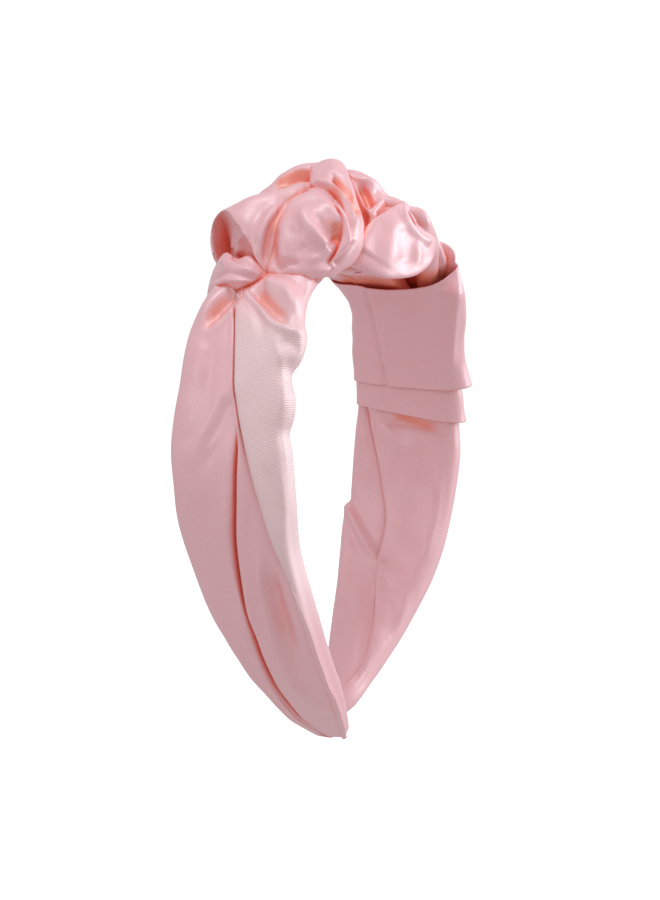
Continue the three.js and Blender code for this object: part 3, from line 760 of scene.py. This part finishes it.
# %% The right loop
right_loop_rings = [
    [(-9.5, -5, 9), (-8.5, -6, 12), (-7, -7, 15), (-5.6, -6.6, 18.6), (-4, -5, 22.6), (-3, -2, 25),
     (-3, 2, 25), (-4, 5, 22), (-5, 6, 16), (-6, 4, 11), (-8, -1, 9)],
    [(-8.4, -11, 7), (-7, -12.5, 11), (-4, -12.5, 15), (-1.4, -11.6, 19), (1, -9.7, 23.4), (2, -6, 27),
     (2, 0, 27.6), (2, 5, 24), (1, 7, 16), (0, 4, 10), (-3, -3, 7)],
    [(-14.6, -12.0, 4.6), (-12, -15.4, 8.6), (-6.4, -16, 13.4), (-0.6, -15, 19), (3.4, -12.2, 24.6),
     (5, -8, 30.2), (6, 1, 31), (7, 9, 26), (6, 13, 17), (4, 9, 8), (-2, -4, 6.6)],
    [(-8.9, -19.2, 0.2), (-6.6, -20.4, 5.6), (-1.6, -20.2, 12), (4.6, -18.8, 18.4), (8.4, -14.6, 23.6),
     (10, -9, 28.2), (12, 1, 29.4), (13, 11, 25), (12, 17, 17), (9, 12, 8), (3, -6, 6.6)],
    [(-0.2, -23.0, -0.2), (3, -23.6, 5.2), (7.2, -23.2, 11.6), (11.6, -20.6, 17.6), (14, -15.6, 21.6),
     (16, -9, 24.8), (18, 1, 25.4), (19, 11, 22.4), (18, 17, 15), (15, 12, 7), (9, -8, 5)],
    [(8.6, -24.8, 1.4), (12, -25.4, 6.4), (15.6, -25.0, 11.6), (18, -21.8, 16.6), (20, -17, 18.8),
     (22, -9, 20.4), (24, 1, 20.4), (25, 10, 17.6), (24, 15, 12), (21, 11, 6), (15, -8, 4)],
    [(17.0, -24.4, 5.2), (20, -25.0, 8.2), (22.6, -24.0, 11.5), (24.2, -20.8, 14.4), (26, -16, 15.8),
     (28, -8, 16), (29.5, 1, 15.6), (30, 8, 13.6), (29, 11, 9), (27, 7, 5), (22, -8, 4)],
    [(23, -21.6, 6.4), (24.6, -21.8, 8.0), (26.4, -20.8, 9.6), (28.6, -18, 10.8), (30.4, -14, 11.8),
     (32, -7, 12), (33, 0, 11.6), (33.4, 5, 9.8), (33, 7, 7), (31, 3, 4), (26, -9, 4)],
    [(27.6, -17, 4.6), (29, -17.4, 5.6), (30.6, -16.6, 6.8), (32.6, -14, 7.4), (34.4, -11, 8),
     (35.8, -6, 8), (36.6, -1, 7.8), (36.8, 2.4, 6), (36, 4, 3), (34, 1, 1), (30.6, -8, 1)],
]
right_loop_folds = [
    # The star of tight folds beside the strap.
    ([(5.0, 29.9), (7.5, 28.6), (11.7, 28.0), (14.6, 26.6), (16.6, 24.6)], 0.8, 1.0, dict(fade=(0.1, 0.4))),
    ([(5.4, 28.5), (7.8, 24.0), (9.8, 19.8), (11.6, 17.4)], 1.5, 0.9, dict(fade=(0.2, 0.05))),
    ([(11.4, 17.0), (13.8, 20.4), (16.3, 23.7)], 1.3, 0.9, dict(fade=(0.05, 0.3))),
    ([(8.2, 27.0), (10.4, 23.4), (11.6, 19.8)], -2.0, 1.6, dict(fade=(0.3, 0.1))),
    ([(6.6, 24.4), (8.4, 20.4), (9.6, 16.6), (8.4, 12.2)], -2.2, 0.9, dict(fade=(0.2, 0.2))),
    ([(13.6, 17.8), (15.6, 19.6), (17.6, 21.8)], -1.2, 1.0, dict(fade=(0.1, 0.3))),
    ([(12.6, 25.8), (15, 23.4), (17.6, 22.4)], -0.9, 0.9, dict(fade=(0.3, 0.3))),
    # The shell's upper edge, its fan of soft ribs and its bright shoulder.
    ([(20.4, 21.4), (15.7, 18.6), (12.2, 15.4), (9.2, 10.9), (7.4, 8.0)], 1.8, 6,
     dict(kind="step", fade=(0.06, 0.1))),
    ([(19.6, 21.0), (20.9, 17.0), (23.6, 13.5), (27.2, 10.9), (29.4, 10.0)], 1.3, 1.0,
     dict(fade=(0.1, 0.2))),
    ([(18.6, 18.6), (17.6, 12.0), (17.0, 5.0), (16.8, 2.0)], 0.5, 2.4, dict(fade=(0.3, 0.4))),
    ([(15.4, 16.4), (13.0, 10.4), (11.4, 4.4)], -0.4, 2.4, dict(fade=(0.3, 0.3))),
    ([(20.6, 14.6), (21.4, 8.6), (22.0, 3.6)], -0.6, 2.2, dict(fade=(0.2, 0.2))),
    ([(24.6, 11.0), (25.4, 6.6), (25.0, 3)], 0.6, 1.2, dict(fade=(0.3, 0.3))),
]
right_loop = loft("right_loop_cloth", right_loop_rings, right_loop_folds, steps=16, around=11,
                  place=as_they_are)


# %% [markdown]
# Two more folds of the same loop turn down behind the shell and run into the cuff's mouth. A roll is
# drawn from its centre line and the radius at each point of it.

# %% The outer folds
def roll(centres, radii, flat=1.0):
    c = np.array(centres, float)
    way = np.gradient(c, axis=0)
    rings = []
    for p, w, r in zip(c, way, radii):
        w = w / np.linalg.norm(w)
        side = np.cross(w, (0, 0, 1))
        side /= np.linalg.norm(side)
        up = np.cross(side, w)
        rings.append([p + r * (math.cos(t) * up + flat * math.sin(t) * side)
                      for t in np.linspace(0, 2 * math.pi, 9)[:-1]])
    return rings


outer_fold = loft(
    "outer_fold_cloth",
    roll([(12, 23.5, 1), (16.4, 21.4, 0), (20.8, 18.4, -2), (24.8, 15.6, -5), (27.4, 11.4, -10),
          (28.6, 6.4, -17), (29.0, 1, -24), (29.0, -4, -31)],
         [1.2, 2.6, 3.6, 4.4, 4.2, 3.8, 3.2, 2.6]),
    [([(22.4, 20.9), (25.4, 17.6), (27.4, 12.9)], -1.5, 0.9, dict(fade=(0.2, 0.3))),
     ([(24.6, 21.4), (27.6, 18.4), (29.2, 13.6)], 0.6, 0.8, dict(fade=(0.2, 0.3))),
     ([(20.4, 21.6), (23.4, 18.2), (25.2, 14.6)], 0.7, 0.8, dict(fade=(0.2, 0.3)))],
    steps=16,
)
mouth_fold = loft(
    "mouth_fold_cloth",
    roll([(25, 13.6, -12), (28.4, 10.6, -15), (30.8, 7.2, -20), (32.0, 3.4, -26), (32.4, -1, -31),
          (32, -6, -34)],
         [1.6, 2.8, 3.2, 3.2, 2.8, 2.2]),
    [([(29.0, 12.9), (31.2, 8.4), (32.4, 2.9)], -1.2, 0.8, dict(fade=(0.2, 0.3))),
     ([(31.4, 12.4), (33.2, 8.4), (34.2, 3.6)], 0.6, 0.7, dict(fade=(0.2, 0.3)))],
    steps=16,
)

# %% [markdown]
# The last stretch turns tightly round the back edge at the left and closes the knot.

# %% The tie
tie_rings = [
    [(-17.4, 0.5, 31.6), (-16.8, -0.4, 33), (-17.6, -1.5, 33.4), (-19, -2.0, 32.6), (-19.5, -1.5, 30),
     (-18.6, 0, 30)],
    [(-22.2, 5.6, 31), (-21.4, 2, 36), (-21.6, -1, 37), (-22, -2.4, 36), (-23.2, -2, 30), (-23, 3, 28)],
    [(-25.6, 4.8, 30.6), (-25.6, 1, 36.6), (-25.6, -1.8, 37.4), (-25.7, -4.0, 36), (-26.4, -3.6, 30),
     (-26.4, 2, 27)],
    [(-29.2, 6.6, 26.4), (-29.8, 2.4, 33), (-29.6, -0.6, 34.6), (-29.2, -2.8, 33.6), (-28.6, -3, 27),
     (-28.4, 2, 24)],
    [(-32.0, 3, 22), (-33.0, -0.6, 26), (-32.6, -3.4, 28), (-31.8, -4.6, 28), (-30, -4, 22), (-30, 0, 19)],
    [(-33.4, -0.8, 17), (-34.7, -3.6, 18), (-34.7, -5.6, 19), (-33.4, -6.8, 18.6), (-31, -5, 15),
     (-31, -2, 14)],
    [(-33, -4, 11), (-34, -6, 11), (-34, -8, 11), (-33, -9, 11), (-31, -7, 10), (-31, -5, 10)],
]
tie_folds = [
    ([(-31.1, 3.6), (-28.8, 3.6), (-26.0, 2.5), (-22.5, 1.2), (-19.1, -0.3)], 0.9, 1.1,
     dict(fade=(0.2, 0.1))),
    ([(-33, -1.6), (-29, 0.6), (-25, 0.2), (-20.4, -0.9)], -0.7, 0.9, dict(fade=(0.2, 0.1))),
    ([(-33.4, -3.4), (-29.6, -1.4), (-25.6, -1.4), (-20.4, -1.4)], 0.6, 0.8, dict(fade=(0.2, 0.1))),
    ([(-27.4, 5.4), (-25, 3.6), (-21.6, 3.0)], -0.8, 0.8, dict(fade=(0.2, 0.2))),
]
tie = loft("left_tie_cloth", tie_rings, tie_folds, steps=16, around=16, rough=0.25)

# %% [markdown]
# ## Satin
# Satin is glossy along its floats and duller across them. Where light would go from fold to fold, its pale
# pink is painted a warm orange: painted shade and bounce light in the base colour. A per-point attribute
# says how deep in a fold each point lies.

# %% Measure how deep in the folds the cloth lies, for the painted shade
cloths = [sleeve_left, sleeve_right, sleeve_up, cuff_low, crown_cloth, left_loop, back_loop, middle_lobe,
          strap, right_loop, outer_fold, mouth_fold, tie]
RAYS = 10
REACH = 14 * MM


# Short rays from each point measure its fold depth; the satin paints shade and warm bounce light from it.
def painted_shade(pieces):
    corners, faces = [], []
    for o in pieces:
        start = len(corners)
        corners += [v.co.copy() for v in o.data.vertices]
        faces += [[start + k for k in p.vertices] for p in o.data.polygons]
    tree = BVHTree.FromPolygons(corners, faces)
    golden = math.pi * (3 - math.sqrt(5))
    spots = []
    for k in range(RAYS):
        rise = 1 - (k + 0.5) / RAYS * 0.95
        flat = math.sqrt(1 - rise * rise)
        spots.append(Vector((flat * math.cos(golden * k), flat * math.sin(golden * k), rise)))
    for o in pieces:
        values = np.zeros(len(o.data.vertices), np.float32)
        for i, v in enumerate(o.data.vertices):
            turn = v.normal.to_track_quat("Z", "Y")
            start = v.co + v.normal * 0.3 * MM
            blocked = 0.0
            for spot in spots:
                _, _, _, far = tree.ray_cast(start, turn @ spot, REACH)
                if far is not None:
                    blocked += 1 - 0.6 * far / REACH
            values[i] = blocked / RAYS
        layer = o.data.attributes.new("painted_shade", "FLOAT", "POINT")
        layer.data.foreach_set("value", values)


print(f"{RAYS} rays of up to {REACH * 1000:.0f} mm are cast from each point of {len(cloths)} cloths")

# %% [markdown]
# Short rays miss the glow that comes from several bounces, so more painted shade is laid along the deepest
# folds' listed lines, on the side that is seen.

# %% Paint more shade into the deepest folds
def paint_more_shade(o, points, amount, width, behind=None):
    """Paints more shade along a fold's line, as more bounces of light in it would."""
    places = np.array([v.co for v in o.data.vertices])[:, None] / MM
    more = drawn(view_chart(places), [(points, amount, width)]).ravel()
    facing = np.array([v.normal for v in o.data.vertices]) @ KNOT_OUT
    more *= ease(facing * 2 + 0.6)
    if behind is not None:
        more *= ease((behind - places[:, 0] @ KNOT_OUT) / 3)
    layer = o.data.attributes["painted_shade"].data
    values = np.array([v.value for v in layer])
    layer.foreach_set("value", (values + more).astype(np.float32))


painted_shade(cloths)
# More painted shade along the deepest folds of each piece.
paint_more_shade(back_loop, [(-5.4, 28.4), (-8.5, 29.0), (-12.1, 27.6), (-16.2, 24.6)], 0.75, 2.4)
paint_more_shade(left_loop, [(-6.4, 26.4), (-10.6, 21.1), (-14.4, 15.3), (-16.3, 10.6)], 0.3, 1.6)
paint_more_shade(strap, [(1.0, 28.7), (2.7, 25.5), (5.4, 22.8), (7.7, 19.0), (8.3, 15.5)], 0.6, 1.9)
paint_more_shade(middle_lobe, [(-3.1, 16.8), (1.3, 14.5), (2.7, 12.2), (3.2, 9.9), (2.7, 7.6)], 0.4, 1.7)
paint_more_shade(right_loop, [(9.0, 25.9), (10.5, 22.9), (11.6, 20.0)], 0.3, 2.0)
paint_more_shade(right_loop, [(10, 20.4), (9.8, 15.5), (8.6, 11.5)], 0.4, 1.6)
paint_more_shade(sleeve_left, [(-26.8, -5.4), (-30.9, -8.6), (-33.7, -12.6), (-35.2, -16.1)], 0.3, 2.2)
paint_more_shade(sleeve_left, [(-19.3, -3.9), (-15.8, -8.0), (-12.3, -12.0)], 0.25, 2.6)
paint_more_shade(sleeve_left, [(-15.9, -87.5), (-11.3, -100.8), (-8.7, -112.0)], 0.13, 3.2)
paint_more_shade(sleeve_right, [(18.7, -40.5), (25.6, -43.2), (34, -46)], 0.45, 1.5)
paint_more_shade(sleeve_right, [(5.4, -69.4), (8.6, -74.6)], 0.25, 1.8)
# Painted shade inside the cuff's mouth, on the cloths round it.
for o in (sleeve_right, crown_cloth, mouth_fold, outer_fold, sleeve_up):
    mouth = [(0, 1.0), (6, -0.2), (14, -1.2), (22, -1.4), (30, -0.2), (35, 3.4)]
    paint_more_shade(o, mouth, 0.7, 3.4, behind=-23 if o is sleeve_up else -9)

# %% [markdown]
# The material is built from nodes: fine ribs and grain for the weave, a cloudy roughness, and a warmer
# colour painted where the cloth lies deep in folds, as painted shade and bounce light.

# %% The satin material
def satin(name, tone, dull, painted_shade_colour):
    """Pale satin whose twill side is duller and lighter, with painted shade and a painted bounce glow in
    its deep folds.
    """
    material = bpy.data.materials.new(name)
    material.use_nodes = True
    tree = material.node_tree
    tree.nodes.clear()
    join = tree.links.new

    def add(kind, **settings):
        node = tree.nodes.new("ShaderNode" + kind)
        for key, value in settings.items():
            setattr(node, key, value)
        return node

    def math_node(operation, a, b, c=None):
        node = add("Math", operation=operation)
        for socket, value in zip(node.inputs, (a, b, c)):
            if isinstance(value, (int, float)):
                socket.default_value = value
            elif value is not None:
                join(value, socket)
        return node.outputs[0]

    skin = add("BsdfPrincipled")
    join(skin.outputs[0], add("OutputMaterial").inputs[0])
    skin.inputs["IOR"].default_value = 1.9
    skin.inputs["Specular IOR Level"].default_value = 0.75
    skin.inputs["Anisotropic"].default_value = 0.5
    skin.inputs["Sheen Weight"].default_value = 0.12
    skin.inputs["Sheen Roughness"].default_value = 0.35
    join(add("Tangent", direction_type="UV_MAP", uv_map="cloth").outputs[0], skin.inputs["Tangent"])

    painted_shade_level = add("Attribute", attribute_name="painted_shade").outputs["Fac"]
    twill = add("Attribute", attribute_name="twill").outputs["Fac"]
    uv = add("UVMap", uv_map="cloth").outputs[0]
    grain = add("TexNoise")
    grain.inputs["Scale"].default_value = 2400
    grain.inputs["Detail"].default_value = 3
    join(uv, grain.inputs["Vector"])
    cloudy = add("TexNoise")
    cloudy.inputs["Scale"].default_value = 160
    cloudy.inputs["Detail"].default_value = 2
    join(uv, cloudy.inputs["Vector"])

    split = add("SeparateXYZ")
    join(uv, split.inputs[0])
    slant = math_node("MULTIPLY_ADD", split.outputs[0], 0.30, split.outputs[1])
    ribs = math_node("SINE", math_node("MULTIPLY", slant, 2 * math.pi / 0.00066), 0)
    rib_depth = math_node("MULTIPLY_ADD", twill, 0.5, 0.12)
    height = math_node("MULTIPLY_ADD", ribs, rib_depth, math_node("MULTIPLY", grain.outputs["Fac"], 1.6))
    bump = add("Bump")
    bump.inputs["Strength"].default_value = 0.5
    bump.inputs["Distance"].default_value = 0.00008
    join(height, bump.inputs["Height"])
    join(bump.outputs[0], skin.inputs["Normal"])
    rough = math_node("MULTIPLY_ADD", cloudy.outputs["Fac"], 0.1,
                      math_node("MULTIPLY_ADD", twill, 0.05, 0.39))
    join(rough, skin.inputs["Roughness"])

    face = add("MixRGB")
    face.inputs[1].default_value = (*tone, 1)
    face.inputs[2].default_value = (*dull, 1)
    join(twill, face.inputs[0])
    # Painted shade: the deeper a point lies in a fold, the more its base colour turns to the warm orange of
    # bounced light.
    painted_glow = add("MapRange")
    painted_glow.inputs["From Min"].default_value = 0.24
    painted_glow.inputs["From Max"].default_value = 0.70
    join(painted_shade_level, painted_glow.inputs["Value"])
    painted_shade_mix = add("MixRGB")
    join(painted_glow.outputs[0], painted_shade_mix.inputs[0])
    join(face.outputs[0], painted_shade_mix.inputs[1])
    painted_shade_mix.inputs[2].default_value = (*painted_shade_colour, 1)
    speck = add("MixRGB", blend_type="MULTIPLY")
    speck.inputs[0].default_value = 0.25
    join(painted_shade_mix.outputs[0], speck.inputs[1])
    join(grain.outputs["Fac"], speck.inputs[2])
    bright = add("HueSaturation")
    bright.inputs["Value"].default_value = 1.11
    join(speck.outputs[0], bright.inputs["Color"])
    join(bright.outputs[0], skin.inputs["Base Color"])
    return material


# The third colour is the painted shade of the deep folds.
blush = satin("blush_satin", (0.93, 0.49, 0.535), (0.93, 0.63, 0.65), (0.97, 0.25, 0.165))
for o in cloths:
    o.data.materials.clear()
    o.data.materials.append(blush)
print(f"{blush.name} has {len(blush.node_tree.nodes)} nodes and dresses {len(cloths)} cloths")

# %% [markdown]
# ## The hidden parts
# The strip, tapes and threads keep their measured shapes. They only need finishes.

# %% Plain finishes
def plain(name, low, high, rough, scale):
    material = bpy.data.materials.new(name)
    material.use_nodes = True
    tree = material.node_tree
    skin = tree.nodes["Principled BSDF"]
    skin.inputs["Roughness"].default_value = rough
    place = tree.nodes.new("ShaderNodeTexCoord")
    noise = tree.nodes.new("ShaderNodeTexNoise")
    noise.inputs["Scale"].default_value = scale
    tree.links.new(place.outputs["Object"], noise.inputs["Vector"])
    ramp = tree.nodes.new("ShaderNodeValToRGB")
    ramp.color_ramp.elements[0].color = (*low, 1)
    ramp.color_ramp.elements[1].color = (*high, 1)
    tree.links.new(noise.outputs["Fac"], ramp.inputs[0])
    tree.links.new(ramp.outputs[0], skin.inputs["Base Color"])
    return material


finishes = {
    "core_": plain("strip_plastic", (0.80, 0.77, 0.72), (0.88, 0.86, 0.82), 0.4, 300),
    "tape_": plain("adhesive_tape", (0.75, 0.66, 0.45), (0.84, 0.76, 0.58), 0.7, 900),
    "tack_": plain("sewing_thread", (0.74, 0.42, 0.44), (0.86, 0.56, 0.58), 0.8, 2500),
}
for name, node in frame["nodes"].items():
    for start, material in finishes.items():
        if name.startswith(start):
            node.data.materials.clear()
            node.data.materials.append(material)
            print(f"{name}: {material.name}")

# %% [markdown]
# ## What each cloth is, and what it moves with
# The arms spring outwards, but only the lower cuff moves with the right arm. The right loop hangs free over
# the cuff's mouth, so it and its folds ride on the crown, as does the crown's wrap. The sleeves, the upper
# cuff, the left loops, the middle lobe, the strap and the tie are fixed where they stand and move with
# nothing. Each plain stand-in is hidden, and the knot's cloths print which plain node they stand for.

# %% Tie the cloth to the frame
def blend_with_arm(piece):
    """Fixes the piece where it stands; nothing blends it with the crown or an arm."""
    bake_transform(piece)


for piece, side, node, slot in [
    (sleeve_left, -1, "sleeve_left", "sleeve_satin"),
    (sleeve_right, 1, "sleeve_right", "sleeve_satin"),
    (sleeve_up, 1, "cuff_upper", "cuff_satin"),
]:
    blend_with_arm(piece)
    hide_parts(node)
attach(cuff_low, "right_arm")
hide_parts("cuff_lower")
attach(crown_cloth, "crown")
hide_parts("crown_wrap")
for piece, node in [
    (left_loop, "knot_left_loop"), (back_loop, "knot_left_loop"), (middle_lobe, "knot_left_loop"),
    (strap, "knot_strap"), (right_loop, "knot_right_loop"), (outer_fold, "knot_right_loop"),
    (mouth_fold, "knot_right_loop"), (tie, "knot_left_tie"),
]:
    if piece in (left_loop, back_loop, middle_lobe, strap, tie):
        blend_with_arm(piece)
    else:
        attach(piece, "crown")
    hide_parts(node)
    print(f"{piece.name} stands for {node}")

# %% [markdown]
# Each cloth is a tube of satin. A sleeve's flat width is twice the band's width plus its laps, and its
# length is the arm's. Both taper, so their cut area is less than the rectangle's. The knot's stretches
# are one tube, declared stretch by stretch.

# %% Say how large each cloth is when flat
def declare(piece, wide, long, area=None):
    """Sizes in millimetres and square millimetres."""
    real = sum(p.area for p in piece.data.polygons) / 2 / MM**2
    share = real / (area or wide * long)
    print(f"{piece.name}: cut {wide} x {long} mm, drawn area over cut area {share:.2f}")


declare(sleeve_left, 88, 190, area=73 * 187)
declare(sleeve_right, 84, 182, area=62 * 182)
declare(crown_cloth, 42, 20)
declare(sleeve_up, 90, 44)
declare(cuff_low, 80, 18)
for piece, wide, long in [(left_loop, 70, 45), (back_loop, 70, 35), (middle_lobe, 60, 35), (strap, 45, 50),
                          (right_loop, 100, 50), (outer_fold, 28, 45), (mouth_fold, 22, 30), (tie, 30, 30)]:
    declare(piece, wide, long)

# %% [markdown]
# ## Light and floor
# The studio is white all round. The surround lights the cloth more weakly than it looks, so that the
# folds keep their shade.

# %% Studio
studio = bpy.data.worlds.new("studio")
bpy.context.scene.world = studio
studio.use_nodes = True
sky = studio.node_tree
seen = sky.nodes.new("ShaderNodeLightPath")
level = sky.nodes.new("ShaderNodeMapRange")
level.inputs["To Min"].default_value = 0.56
level.inputs["To Max"].default_value = 1.05
sky.links.new(seen.outputs["Is Camera Ray"], level.inputs["Value"])
sky.nodes["Background"].inputs["Color"].default_value = (1, 1, 1, 1)
sky.links.new(level.outputs["Result"], sky.nodes["Background"].inputs["Strength"])
bpy.context.scene.view_settings.view_transform = "Standard"
print("the white surround lights the cloth at strength", round(level.inputs["To Min"].default_value, 2))

# %% [markdown]
# The floor is plain and pale. It throws no light back, so the cloth keeps its own colour.

# %% The floor
bpy.ops.mesh.primitive_plane_add(size=6, location=(0, 0, -0.2))
floor = bpy.context.object
floor.name = "floor"
floor.visible_diffuse = False
floor.visible_glossy = False
paper = bpy.data.materials.new("white_paper")
paper.use_nodes = True
sheet_skin = paper.node_tree.nodes["Principled BSDF"]
sheet_skin.inputs["Base Color"].default_value = (0.8, 0.8, 0.8, 1)
sheet_skin.inputs["Specular IOR Level"].default_value = 0
sheet_skin.inputs["Emission Color"].default_value = (1, 1, 1, 1)
sheet_skin.inputs["Emission Strength"].default_value = 0.75
floor.data.materials.append(paper)
print("the floor lies at", round(floor.location.z * 1000), "mm")

# %% [markdown]
# Satin shows the shape of every lamp, so the lamps are large and few: one above, one at the far right
# that draws the bright line down the right-hand edges, a low one on the same side, and a weak one at the
# left.

# %% The lamps
def softbox(name, place, size, power, aim=ARCH_MIDDLE):
    """A square lamp that faces the band. Its power is in watts."""
    light = bpy.data.lights.new(name, "AREA")
    light.size = size
    light.energy = power
    light.color = (0.94, 0.97, 1.0)
    lamp = bpy.data.objects.new(name, light)
    bpy.context.scene.collection.objects.link(lamp)
    lamp.location = place
    lamp.rotation_euler = (Vector(place) - Vector(aim)).to_track_quat("Z", "Y").to_euler()
    return lamp


def from_view(right, up, back):
    """A place in metres: to the right, up and back, as seen from behind the camera."""
    sideways = Vector((-to_camera.y, to_camera.x, 0)).normalized()
    nearer = Vector((to_camera.x, to_camera.y, 0))
    return ARCH_MIDDLE + sideways * right + Vector((0, 0, up)) + nearer * back


softbox("top_light", from_view(0.1, 1.5, 0.35), 0.6, 7.6)
softbox("right_light", from_view(1.5, 0.45, -0.4), 0.8, 14.0)
softbox("low_light", from_view(1.1, -0.45, -0.1), 0.45, 4.5)
softbox("left_light", from_view(-1.3, 0.7, 1.0), 0.7, 2.6)
